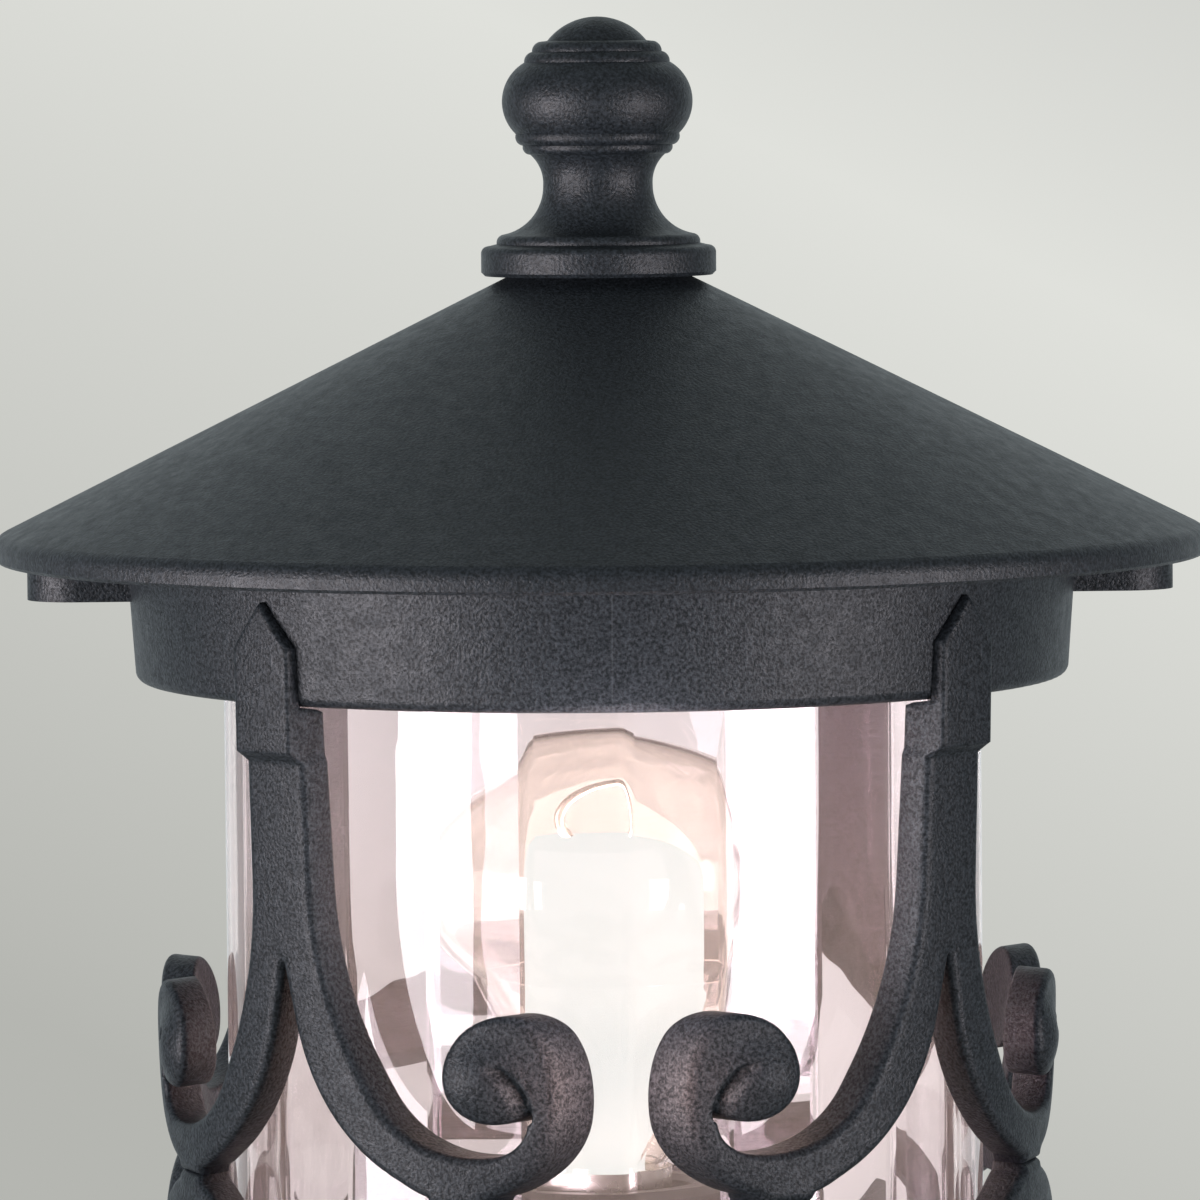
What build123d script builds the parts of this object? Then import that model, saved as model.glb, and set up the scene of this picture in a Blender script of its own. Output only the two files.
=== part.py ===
from build123d import *
import math
import os

# A pier mount lantern in cast aluminium: base flange, turned stem, tray, a cage of two rings
# joined by scrolled straps round a faceted glass, and a conical roof with a turned finial.
# Millimetres, +Z up, origin at the centre of the base's underside.

# Driving heights
base_height = 24.0
stem_top = 76.0
tray_top = 96.0
mid_plane = 215.0
band_bottom = 305.0
ring_height = 29.0
roof_rim_bottom = band_bottom + 23.1
roof_rim_top = band_bottom + 27.4
roof_top = band_bottom + 76.0
finial_top = band_bottom + 124.9

# Driving radii
base_radius = 78.0
ring_radius = 88.5
ring_radius_top = 90.5
ring_bore = 84.5
flange_bore = 64.0
glass_radius = 72.0
glass_bore = 69.2
roof_radius = 115.0
roof_top_radius = 17.0

# Fixing pattern of the base
fixing_circle_radius = 67.0
fixing_hole_radius = 3.25
fixing_count = 4

# Lamp and threaded tube
lamp_tip = 183.0
lamp_length = 112.0
lamp_radius = 30.0
tube_radius = 5.0
tube_bore = 3.5

# Straps stand on the X and Y axes and the roof lugs between them
strap_angles = {"front_right": 0, "rear_right": 90, "rear_left": 180, "front_left": 270}
lug_angles = {"right": 45, "left": 225}


def heading(degrees):
    """Direction in a sketch, counted from its own x axis."""
    angle = math.radians(degrees)
    return (math.cos(angle), math.sin(angle))


def radial_plane(degrees, height):
    """Sketch plane across the lantern that faces outwards at an angle about the axis."""
    out = heading(degrees)
    across = heading(degrees + 90)
    return Plane(origin=(0, 0, height), x_dir=(*across, 0), z_dir=(*out, 0))


def save(part, name):
    """Label one finished piece and write it to its own file."""
    part.label = name
    export_step(part, f"parts/{name}.step")


os.makedirs("parts", exist_ok=True)

# Base flange: a dished casting with a hollow for the wiring and four fixing holes
base_edge = 6.0
base_top_radius = 43.0
hollow_height = 18.0
hollow_top_radius = 40.0
hollow_mouth_radius = 60.0
spot_face_height = 7.0
spot_face_radius = 6.5
earth_screw_place = (-26.0, 0.0)
earth_hole_radius = 2.05
earth_hole_top = 22.0

with BuildPart() as base:
    with BuildSketch(Plane.XZ):
        with BuildLine():
            Polyline((tube_radius + 0.3, 0), (base_radius, 0), (base_radius, base_edge), (74.5, 8.5))
            ThreePointArc((74.5, 8.5), (55, 13.2), (base_top_radius, base_height))
            Polyline(
                (base_top_radius, base_height),
                (tube_radius + 0.3, base_height),
                (tube_radius + 0.3, 0),
            )
        make_face()
    revolve(axis=Axis.Z)
    fillet(base.edges().filter_by(GeomType.CIRCLE).group_by(SortBy.RADIUS)[-1].sort_by(Axis.Z)[-1:], 1.5)
    with BuildSketch(Plane.XZ):
        with BuildLine():
            Polyline((0, 0), (hollow_mouth_radius, 0), (hollow_mouth_radius, 3.5))
            ThreePointArc((hollow_mouth_radius, 3.5), (48, 8.6), (hollow_top_radius, hollow_height))
            Polyline((hollow_top_radius, hollow_height), (0, hollow_height), (0, 0))
        make_face()
    revolve(axis=Axis.Z, mode=Mode.SUBTRACT)
    with Locations((0, 0, spot_face_height)):
        with PolarLocations(fixing_circle_radius, fixing_count, start_angle=45):
            Hole(fixing_hole_radius, depth=spot_face_height)
            Cylinder(
                spot_face_radius,
                base_height,
                align=(Align.CENTER, Align.CENTER, Align.MIN),
                mode=Mode.SUBTRACT,
            )
    with Locations((*earth_screw_place, hollow_height)):
        Cylinder(
            earth_hole_radius,
            earth_hole_top - hollow_height,
            align=(Align.CENTER, Align.CENTER, Align.MIN),
            mode=Mode.SUBTRACT,
        )
save(base.part, "base")

# Earth screw in the roof of the base hollow
with BuildPart() as earth_screw:
    with Locations((*earth_screw_place, hollow_height)):
        Cylinder(2.0, 3.6, align=(Align.CENTER, Align.CENTER, Align.MIN))
        Cylinder(4.0, 2.6, align=(Align.CENTER, Align.CENTER, Align.MAX))
save(earth_screw.part, "earth_screw")

# Stem: a turned column between base and tray, bored for the threaded tube
with BuildPart() as stem:
    with BuildSketch(Plane.XZ):
        with BuildLine():
            Polyline((tube_radius + 0.3, base_height), (36, base_height), (36, 28), (33.5, 29), (32, 31))
            ThreePointArc((32, 31), (18.5, 35.5), (15.5, 43))
            Polyline((15.5, 43), (19.5, 44), (19.5, 46.5), (18, 47))
            ThreePointArc((18, 47), (22, 54), (17, 61))
            Polyline((17, 61), (18.5, 61.5), (18.5, 63.5), (16.5, 64))
            ThreePointArc((16.5, 64), (18.5, 69.5), (27, 72))
            Polyline(
                (27, 72),
                (29, 72),
                (29, stem_top),
                (tube_radius + 0.3, stem_top),
                (tube_radius + 0.3, base_height),
            )
        make_face()
    revolve(axis=Axis.Z)
save(stem.part, "stem")

# Tray: a shallow dish that closes the bottom ring and carries the lamp post
tray_radius = 87.0
tray_lip = 5.0
tray_screw_circle = 79.0
tray_screw_radius = 2.0

with BuildPart() as tray:
    with BuildSketch(Plane.XZ):
        with BuildLine():
            Polyline((tube_radius + 0.3, tray_top), (tray_radius, tray_top), (tray_radius, 93))
            ThreePointArc((tray_radius, 93), (86.4, 91.6), (85, tray_top - tray_lip))
            Line((85, tray_top - tray_lip), (71, tray_top - tray_lip))
            ThreePointArc((71, tray_top - tray_lip), (50, 86.5), (33, stem_top))
            Polyline(
                (33, stem_top),
                (tube_radius + 0.3, stem_top),
                (tube_radius + 0.3, tray_top),
            )
        make_face()
    revolve(axis=Axis.Z)
    with Locations((0, 0, tray_top)):
        with PolarLocations(tray_screw_circle, 4, start_angle=45):
            Hole(tray_screw_radius + 0.2, depth=tray_lip)
save(tray.part, "tray")

# Four screws that hold the tray under the bottom ring
with BuildPart() as tray_screws:
    with Locations((0, 0, tray_top - tray_lip)):
        with PolarLocations(tray_screw_circle, 4, start_angle=45):
            Cylinder(tray_screw_radius, tray_lip + 3.2, align=(Align.CENTER, Align.CENTER, Align.MIN))
            Cylinder(3.8, 2.4, align=(Align.CENTER, Align.CENTER, Align.MAX))
save(tray_screws.part, "tray_screws")

# Plain ring: drafted band with a top flange and a rib that centres the glass
flange_thickness = 4.0
gasket_thickness = 4.0
rib_inner = 75.0
rib_outer = 77.5
rib_height = 8.0
strap_boss_height = band_bottom + 9.0
strap_boss_radius = 3.5
flange_under = band_bottom + ring_height - flange_thickness
ring_top = band_bottom + ring_height

with BuildPart() as plain_ring:
    with BuildSketch(Plane.XZ):
        with BuildLine():
            Polyline(
                (ring_bore, band_bottom),
                (ring_radius, band_bottom),
                (ring_radius_top, ring_top),
                (flange_bore, ring_top),
                (flange_bore, flange_under),
                (rib_inner, flange_under),
                (rib_inner, flange_under - rib_height),
                (rib_outer, flange_under - rib_height),
                (rib_outer, flange_under),
                (ring_bore, flange_under),
                close=True,
            )
        make_face()
    revolve(axis=Axis.Z)
    lower_rim = plain_ring.edges().filter_by(GeomType.CIRCLE).group_by(Axis.Z)[0]
    fillet(lower_rim.sort_by(SortBy.RADIUS)[-1:], 2.0)
    for angle in strap_angles.values():
        with BuildSketch(radial_plane(angle, strap_boss_height)):
            Circle(strap_boss_radius + 0.1)
        extrude(amount=ring_radius_top + 1, mode=Mode.SUBTRACT)

# Top ring: the plain ring with two round-ended lugs that carry the roof
lug_bottom = band_bottom + 15.5
lug_thickness = 5.5
lug_top = lug_bottom + lug_thickness
lug_hole_circle = 99.5
lug_end_radius = 9.5
roof_screw_radius = 2.5
screw_head_radius = 4.6
cup_wall = 0.8
countersink_angle = 90

with BuildPart() as top_ring:
    add(plain_ring.part)
    with BuildSketch(Plane.XY.offset(lug_bottom)):
        for angle in lug_angles.values():
            with PolarLocations(lug_hole_circle, 1, start_angle=angle):
                Circle(lug_end_radius)
            with PolarLocations((lug_hole_circle + ring_bore) / 2, 1, start_angle=angle):
                Rectangle(lug_hole_circle - ring_bore, 2 * lug_end_radius)
        Circle(ring_bore + 1, mode=Mode.SUBTRACT)
    extrude(amount=lug_thickness)
    lug_under = Plane(origin=(0, 0, lug_bottom), x_dir=(1, 0, 0), z_dir=(0, 0, -1))
    for angle in lug_angles.values():
        place = heading(angle)
        with Locations(lug_under):
            with Locations((lug_hole_circle * place[0], -lug_hole_circle * place[1])):
                CounterSinkHole(
                    roof_screw_radius + cup_wall + 0.2,
                    screw_head_radius + cup_wall + 0.2,
                    depth=lug_thickness,
                    counter_sink_angle=countersink_angle,
                )
save(top_ring.part, "top_ring")

# Bottom ring: the plain ring turned over, with tapped holes for the tray screws
with BuildPart() as bottom_ring:
    mirror(plain_ring.part, about=Plane.XY.offset(mid_plane))
    with Locations((0, 0, tray_top)):
        with PolarLocations(tray_screw_circle, 4, start_angle=45):
            Cylinder(
                tray_screw_radius + 0.05,
                flange_thickness,
                align=(Align.CENTER, Align.CENTER, Align.MIN),
                mode=Mode.SUBTRACT,
            )
save(bottom_ring.part, "bottom_ring")

# Scrolled strap: a pointed tongue over the ring, a stem that splits into two arms, and a scroll
# at the end of each arm. The outline is drawn square to the strap, pulled along its own radius
# and cut from a shell that follows the ring and leans inwards towards the middle.
tongue_tip = 19.0
tongue_shoulder = 10.7
tongue_foot = -9.6
tongue_half_width = 7.0
stem_half_width = 7.8
fork_top = -47.2
land_depth = mid_plane - band_bottom
land_centre = 34.3
land_width = 10.0
tongue_radius = 91.3
strap_radius = 88.3
strap_back = 82.0
middle_radius = 85.1
middle_back = 77.0
ring_gap = 0.03
crease_depth = 2.6
eye_place = (41.3, -67.0)
eye_curve = 15.3
eye_rise = 1.8
dowel_radius = 1.5
dowel_length = 10.0
dowel_circle = 73.4
strap_screw_radius = 1.6
strap_lean = (strap_radius - middle_radius) / (tongue_foot - land_depth)
eye_front = middle_radius + strap_lean * (eye_place[1] - land_depth)


def strap_face(radius_shift):
    """Half profile of the space in front of the strap's leaning face, moved in or out."""
    with BuildSketch(Plane.XZ) as front:
        with BuildLine():
            Polyline(
                (middle_radius + radius_shift, mid_plane),
                (strap_radius + radius_shift, band_bottom + tongue_foot),
                (strap_radius + 20, band_bottom + tongue_foot),
                (strap_radius + 20, mid_plane),
                close=True,
            )
        make_face()
    return front.sketch


with BuildPart() as scroll_eyes:
    eye_reach = eye_front + eye_rise - eye_curve
    eye_turn = math.degrees(math.asin(eye_place[0] / eye_front))
    for side_sign in (-1, 1):
        out = heading(side_sign * eye_turn)
        with Locations((eye_reach * out[0], eye_reach * out[1], band_bottom + eye_place[1])):
            Sphere(eye_curve)
    add(strap_face(-0.6))
    revolve(axis=Axis.Z, mode=Mode.INTERSECT)

with BuildPart() as scroll_creases:
    with BuildSketch(radial_plane(0, band_bottom)):
        with BuildLine():
            crease = JernArc((47.9, -74.2), heading(91), 20, 24)
            JernArc(crease @ 1, crease % 1, 1.8, 130)
        trace(line_width=1.9)
        mirror(about=Plane.YZ)
    extrude(amount=ring_radius_top + 10)
    add(strap_face(-crease_depth))
    revolve(axis=Axis.Z, mode=Mode.INTERSECT)

with BuildPart() as strap:
    with BuildSketch(radial_plane(0, band_bottom)):
        with BuildLine():
            notch = Line((0, fork_top), (2.6, -58.6))
            fork = JernArc(notch @ 1, notch % 1, 41, 47.6)
            arm_run = Line(fork @ 1, fork @ 1 + fork % 1 * 4)
            arm_underside = JernArc(arm_run @ 1, arm_run % 1, 17.4, 112)
            scroll_side = JernArc(arm_underside @ 1, arm_underside % 1, 37, 15.5)
            scroll_shoulder = JernArc(scroll_side @ 1, scroll_side % 1, 14.5, 37.5)
            scroll_crown = JernArc(scroll_shoulder @ 1, scroll_shoulder % 1, 6.2, 92)
            scroll_cheek = JernArc(scroll_crown @ 1, scroll_crown % 1, 16, 31)
            scroll_eye = JernArc(scroll_cheek @ 1, scroll_cheek % 1, 8.8, 102)
            scroll_lip = JernArc(scroll_eye @ 1, scroll_eye % 1, 7.5, 34)
            side = Line((stem_half_width - 0.3, tongue_foot), (stem_half_width, -33))
            arm_back = JernArc(side @ 1, side % 1, 69, 29.3)
            arm_reach = Line(arm_back @ 1, arm_back @ 1 + arm_back % 1 * 5)
            arm_dip = JernArc(arm_reach @ 1, arm_reach % 1, 22, 60)
            arm_hook = JernArc(arm_dip @ 1, arm_dip % 1, 9.6, 84)
            Line(scroll_lip @ 1, arm_hook @ 1)
            Polyline(
                notch @ 0,
                (0, tongue_tip),
                (tongue_half_width, tongue_shoulder),
                (tongue_half_width, tongue_foot),
                side @ 0,
            )
        make_face()
        with Locations((land_centre, land_depth + 2)):
            Rectangle(land_width, 4)
        mirror(about=Plane.YZ)
    extrude(amount=ring_radius_top + 10)
    with BuildSketch(Plane.XZ):
        with BuildLine():
            Polyline(
                (strap_back, band_bottom),
                (ring_radius + ring_gap, band_bottom),
                (ring_radius_top + ring_gap, ring_top),
                (tongue_radius + 0.8, ring_top),
                (tongue_radius, band_bottom + tongue_foot + 1),
                (tongue_radius - 0.6, band_bottom + tongue_foot),
                (strap_radius, band_bottom + tongue_foot),
                (middle_radius, mid_plane),
                (middle_back, mid_plane),
                close=True,
            )
        make_face()
    revolve(axis=Axis.Z, mode=Mode.INTERSECT)
    add(scroll_eyes.part)
    add(scroll_creases.part, mode=Mode.SUBTRACT)
    with BuildSketch(radial_plane(0, strap_boss_height).offset(ring_bore + 0.1)):
        Circle(strap_boss_radius)
    extrude(amount=4.5)
    with BuildSketch(radial_plane(0, strap_boss_height).offset(ring_bore)):
        Circle(strap_screw_radius + 0.05)
    extrude(amount=5.6, mode=Mode.SUBTRACT)
    with Locations((dowel_circle, land_centre, mid_plane), (dowel_circle, -land_centre, mid_plane)):
        Cylinder(
            dowel_radius + 0.02,
            dowel_length / 2,
            align=(Align.CENTER, Align.CENTER, Align.MIN),
            mode=Mode.SUBTRACT,
        )

lower_strap = strap.part.mirror(Plane.XY.offset(mid_plane))
for place, angle in strap_angles.items():
    save(strap.part.rotate(Axis.Z, angle), f"upper_strap_{place}")
    save(lower_strap.rotate(Axis.Z, angle), f"lower_strap_{place}")

# Dowels in the lands where upper and lower straps meet
with BuildPart() as strap_dowels:
    for angle in strap_angles.values():
        out = heading(angle)
        across = heading(angle + 90)
        for side_sign in (-1, 1):
            shift = side_sign * land_centre
            x = dowel_circle * out[0] + shift * across[0]
            y = dowel_circle * out[1] + shift * across[1]
            with Locations((x, y, mid_plane)):
                Cylinder(dowel_radius, dowel_length - 0.4)
save(strap_dowels.part, "strap_dowels")

# Pan head screws from inside each ring into the bosses on the straps
screw_head_seat = ring_bore - 0.15

with BuildPart() as upper_strap_screws:
    for angle in strap_angles.values():
        with BuildSketch(radial_plane(angle, strap_boss_height).offset(screw_head_seat)):
            Circle(strap_screw_radius)
        extrude(amount=5.4)
        with BuildSketch(radial_plane(angle, strap_boss_height).offset(screw_head_seat - 2.4)):
            Circle(4.2)
        extrude(amount=2.4)
save(upper_strap_screws.part, "upper_strap_screws")

with BuildPart() as lower_strap_screws:
    mirror(upper_strap_screws.part, about=Plane.XY.offset(mid_plane))
save(lower_strap_screws.part, "lower_strap_screws")

# Glass: a clear cylinder, smooth outside and pressed with twenty-four flat panels inside
glass_bottom = 2 * mid_plane - (flange_under - gasket_thickness)
glass_top = flange_under - gasket_thickness
glass_panels = 24
glass_turn = 1.4
panel_edge = 11.0

with BuildPart() as glass_cylinder:
    with BuildSketch(Plane.XY.offset(glass_bottom)):
        Circle(glass_radius)
    extrude(amount=glass_top - glass_bottom)
    with BuildSketch(Plane.XY.offset(glass_bottom)) as bore:
        RegularPolygon(glass_bore, glass_panels, rotation=glass_turn)
        fillet(bore.vertices(), panel_edge)
    extrude(amount=glass_top - glass_bottom, mode=Mode.SUBTRACT)
save(glass_cylinder.part, "glass_cylinder")

# Rubber gaskets between the glass ends and the ring flanges
with BuildPart() as top_gasket:
    with BuildSketch(Plane.XY.offset(glass_top)):
        Circle(rib_inner - 0.4)
        Circle(glass_bore - 1.5, mode=Mode.SUBTRACT)
    extrude(amount=gasket_thickness)
save(top_gasket.part, "top_gasket")

with BuildPart() as bottom_gasket:
    mirror(top_gasket.part, about=Plane.XY.offset(mid_plane))
save(bottom_gasket.part, "bottom_gasket")

# Threaded tube that clamps base, stem and tray together and carries the lead to the lamp
tube_bottom = 9.5
tube_top = 164.0
nut_across_flats = 17.0
nut_thickness = 6.0
washer_thickness = 1.5
washer_radius = 10.5

with BuildPart() as threaded_tube:
    with BuildSketch(Plane.XY.offset(tube_bottom)):
        Circle(tube_radius)
        Circle(tube_bore, mode=Mode.SUBTRACT)
    extrude(amount=tube_top - tube_bottom)
save(threaded_tube.part, "threaded_tube")

clamps = {"base": (hollow_height - washer_thickness, -1), "tray": (tray_top, 1)}
for place, (washer_bottom, direction) in clamps.items():
    with BuildPart() as washer:
        with BuildSketch(Plane.XY.offset(washer_bottom)):
            Circle(washer_radius)
            Circle(tube_radius + 0.2, mode=Mode.SUBTRACT)
        extrude(amount=washer_thickness)
    save(washer.part, f"{place}_washer")
    nut_bottom = washer_bottom + washer_thickness if direction > 0 else washer_bottom - nut_thickness
    with BuildPart() as nut:
        with BuildSketch(Plane.XY.offset(nut_bottom)):
            RegularPolygon(nut_across_flats / 2, 6, major_radius=False)
            Circle(tube_radius + 0.03, mode=Mode.SUBTRACT)
        extrude(amount=nut_thickness)
    save(nut.part, f"{place}_nut")

# Lamp post: a spun sleeve on the tray that hides the tube and holds up the lampholder
post_top = 154.0

with BuildPart() as lamp_post:
    with BuildSketch(Plane.XZ):
        with BuildLine():
            Polyline((11.5, tray_top), (22, tray_top), (22, 99), (17, 101))
            ThreePointArc((17, 101), (14, 104), (13, 109))
            Polyline((13, 109), (13, 148), (16.5, 151), (16.5, post_top), (tube_radius + 0.2, post_top))
            Polyline(
                (tube_radius + 0.2, post_top),
                (tube_radius + 0.2, 150),
                (11.5, 147),
                (11.5, tray_top),
            )
        make_face()
    revolve(axis=Axis.Z)
save(lamp_post.part, "lamp_post")

# Lampholder: moulded base and body, insulator, screw shell and sprung centre contact
holder_split = 174.0
holder_top = 208.0
holder_bore = 15.2
shell_top = 201.0
shell_inner = 13.17
insulator_top = 179.0

with BuildPart() as holder_base:
    with BuildSketch(Plane.XZ):
        with BuildLine():
            Polyline((tube_radius + 0.03, post_top), (13.5, post_top))
            ThreePointArc((13.5, post_top), (18.6, 157), (20, 164))
            Polyline((20, 164), (20, holder_split), (16.5, holder_split), (16.5, 168), (9, 166))
            Polyline((9, 166), (tube_radius + 0.03, 166), (tube_radius + 0.03, post_top))
        make_face()
    revolve(axis=Axis.Z)
save(holder_base.part, "holder_base")

with BuildPart() as holder_body:
    with BuildSketch(Plane.XZ):
        with BuildLine():
            Polyline(
                (holder_bore, holder_split),
                (21, holder_split),
                (21, 178),
                (20.2, 179),
                (19.4, holder_top - 1.5),
                (18.4, holder_top),
                (holder_bore + 0.8, holder_top),
                (holder_bore, holder_top - 1),
                close=True,
            )
        make_face()
    revolve(axis=Axis.Z)
save(holder_body.part, "holder_body")

with BuildPart() as holder_insulator:
    with BuildSketch(Plane.XY.offset(holder_split)):
        Circle(holder_bore - 0.05)
        with Locations((9.5, 0), (-9.5, 0)):
            Circle(1.6, mode=Mode.SUBTRACT)
    extrude(amount=insulator_top - holder_split)
save(holder_insulator.part, "holder_insulator")

with BuildPart() as holder_shell:
    with BuildSketch(Plane.XZ):
        with BuildLine():
            Polyline(
                (7.5, insulator_top),
                (shell_inner + 0.8, insulator_top),
                (shell_inner + 0.8, shell_top),
                (shell_inner, shell_top),
                (shell_inner, insulator_top + 0.8),
                (7.5, insulator_top + 0.8),
                close=True,
            )
        make_face()
    revolve(axis=Axis.Z)
save(holder_shell.part, "holder_shell")

with BuildPart() as holder_contact:
    with BuildSketch(Plane.XZ.offset(-2.5)):
        with BuildLine():
            spring_foot = Line((-5.5, insulator_top + 0.4), (2, insulator_top + 0.4))
            spring_bend = JernArc(spring_foot @ 1, spring_foot % 1, 1.1, 158)
            Line(spring_bend @ 1, (-4.2, lamp_tip - 0.35))
        trace(line_width=0.6)
    extrude(amount=5)
save(holder_contact.part, "holder_contact")

# Lamp: clear envelope over a frosted inner bulb with a wire loop on top, on a screw cap
cap_bottom = lamp_tip + 5.0
cap_top = lamp_tip + 28.0
cap_radius = 13.1
neck_radius = 12.6
bulb_centre = lamp_tip + lamp_length - lamp_radius
envelope_wall = 0.8
capsule_radius = 16.6
capsule_neck = 10.4
capsule_bottom = cap_top - 3.0
capsule_top = lamp_tip + lamp_length - 30.0
capsule_wall = 0.9
loop_half_width = 6.0
loop_top = capsule_top + 9.0
loop_wire = 0.6
contact_curve = 10.6

with BuildPart() as lamp_contact:
    with BuildSketch(Plane.XZ):
        with BuildLine():
            button = CenterArc((0, lamp_tip + contact_curve), contact_curve, -90, 26)
            Polyline(button @ 1, ((button @ 1).X, lamp_tip + 2), (0, lamp_tip + 2), button @ 0)
        make_face()
    revolve(axis=Axis.Z)
save(lamp_contact.part, "lamp_contact")

with BuildPart() as lamp_insulator:
    with BuildSketch(Plane.XZ):
        with BuildLine():
            Polyline(
                (0, lamp_tip + 2),
                (5.6, lamp_tip + 2),
                (10.6, cap_bottom),
                (10.6, cap_bottom + 1.5),
                (0, cap_bottom + 1.5),
                close=True,
            )
        make_face()
    revolve(axis=Axis.Z)
save(lamp_insulator.part, "lamp_insulator")

with BuildPart() as lamp_cap:
    with BuildSketch(Plane.XZ):
        with BuildLine():
            Polyline(
                (10.7, cap_bottom),
                (11.6, cap_bottom),
                (cap_radius, cap_bottom + 1.5),
                (cap_radius, cap_top),
                (cap_radius - 0.4, cap_top),
                (cap_radius - 0.4, cap_bottom + 2),
                (10.7, cap_bottom + 2),
                close=True,
            )
        make_face()
    revolve(axis=Axis.Z)
save(lamp_cap.part, "lamp_cap")

with BuildPart() as lamp_envelope:
    with BuildSketch(Plane.XZ):
        inner_neck = neck_radius - envelope_wall
        with BuildLine():
            belly = CenterArc((0, bulb_centre), lamp_radius, -35, 125)
            lining = CenterArc((0, bulb_centre), lamp_radius - envelope_wall, -35, 125)
            Line(belly @ 1, lining @ 1)
            ThreePointArc(belly @ 0, (17.0, cap_top + 12), (neck_radius, cap_top + 1))
            ThreePointArc(lining @ 0, (16.2, cap_top + 12.2), (inner_neck, cap_top + 1))
            Polyline(
                (neck_radius, cap_top + 1),
                (neck_radius, cap_top - 6),
                (inner_neck, cap_top - 6),
                (inner_neck, cap_top + 1),
            )
        make_face()
    revolve(axis=Axis.Z)
save(lamp_envelope.part, "lamp_envelope")

with BuildPart() as lamp_capsule:
    with BuildSketch(Plane.XZ):
        with BuildLine():
            shoulder = CenterArc((capsule_radius - 8, capsule_top - 8), 8, 0, 90)
            Polyline(shoulder @ 1, (0, capsule_top), (0, capsule_bottom), (capsule_neck, capsule_bottom))
            Polyline(
                (capsule_neck, capsule_bottom),
                (capsule_neck, cap_top + 3),
                (capsule_radius, cap_top + 20),
                shoulder @ 0,
            )
        make_face()
    revolve(axis=Axis.Z)
    offset(amount=-capsule_wall, openings=lamp_capsule.faces().sort_by(Axis.Z)[:1])
save(lamp_capsule.part, "lamp_capsule")

with BuildPart() as lamp_wires:
    with BuildSketch(Plane.XY.offset(cap_bottom + 1.5)):
        with PolarLocations(capsule_neck - capsule_wall / 2, 2):
            Circle(0.4)
    extrude(amount=capsule_bottom - cap_bottom - 1.5)
    with BuildLine(radial_plane(-45, capsule_top)) as loop:
        ThreePointArc((-loop_half_width, -0.5), (0, loop_top - capsule_top), (loop_half_width, -0.5))
    with BuildSketch(Plane(origin=loop.line @ 0, z_dir=loop.line % 0)):
        Circle(loop_wire)
    sweep()
    add(lamp_capsule.part, mode=Mode.SUBTRACT)
save(lamp_wires.part, "lamp_wires")

# Terminal block in the base hollow, and the lead from it to the lampholder
block_front = 20.0
block_depth = 16.0
block_width = 24.0
block_height = 11.0
terminal_pitch = 7.5
lead_radius = 2.2
lead_floor = 4.6

with BuildPart() as lamp_lead:
    with BuildLine() as lead_route:
        FilletPolyline(
            (0, 0, tube_top - 2),
            (0, 0, lead_floor),
            (11, 0, lead_floor),
            (block_front + 0.8, 0, 10),
            radius=[6.5, 8.0],
        )
    with BuildSketch(Plane(origin=lead_route.line @ 0, z_dir=lead_route.line % 0)):
        Circle(lead_radius)
    sweep()
save(lamp_lead.part, "lamp_lead")

with BuildPart() as terminal_block:
    with BuildSketch(Plane.XY.offset(hollow_height)):
        with Locations((block_front + block_depth / 2, 0)):
            Rectangle(block_depth, block_width)
    extrude(amount=-block_height)
    fillet(terminal_block.edges().filter_by(Axis.Z), 1.5)
    with Locations((block_front + block_depth / 2, 0, hollow_height - block_height)):
        with GridLocations(block_depth / 2, terminal_pitch, 2, 3):
            Cylinder(
                1.9,
                4.0,
                align=(Align.CENTER, Align.CENTER, Align.MIN),
                mode=Mode.SUBTRACT,
            )
    add(lamp_lead.part, mode=Mode.SUBTRACT)
save(terminal_block.part, "terminal_block")

with BuildPart() as terminal_screws:
    with Locations((block_front + block_depth / 2, 0, hollow_height - block_height + 1)):
        with GridLocations(block_depth / 2, terminal_pitch, 2, 3):
            Cylinder(1.8, 3.0, align=(Align.CENTER, Align.CENTER, Align.MIN))
save(terminal_screws.part, "terminal_screws")

# Roof: a cast cone with an upright rim, and two bosses inside that sit on the lugs
roof_wall_drop = 3.4
roof_lip = 3.0
roof_plate_under = roof_top - 5.0
roof_plate_radius = 16.0
boss_radius = 6.5
boss_hole_top = lug_top + 9.2
stud_radius = 3.0
roof_slope = (roof_top - roof_rim_top) / (roof_radius - roof_top_radius)

with BuildPart() as roof_hollow:
    with BuildSketch(Plane.XZ):
        inner_radius = roof_radius - roof_lip
        with BuildLine():
            Polyline(
                (0, roof_rim_bottom - 10),
                (inner_radius, roof_rim_bottom - 10),
                (inner_radius, roof_rim_top + roof_lip * roof_slope - roof_wall_drop),
                (roof_plate_radius, roof_plate_under),
                (0, roof_plate_under),
                close=True,
            )
        make_face()
    revolve(axis=Axis.Z)
    with Locations((0, 0, lug_top)):
        for angle in lug_angles.values():
            with PolarLocations(lug_hole_circle, 1, start_angle=angle):
                Cylinder(
                    boss_radius,
                    roof_top - lug_top,
                    align=(Align.CENTER, Align.CENTER, Align.MIN),
                    mode=Mode.SUBTRACT,
                )

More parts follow.
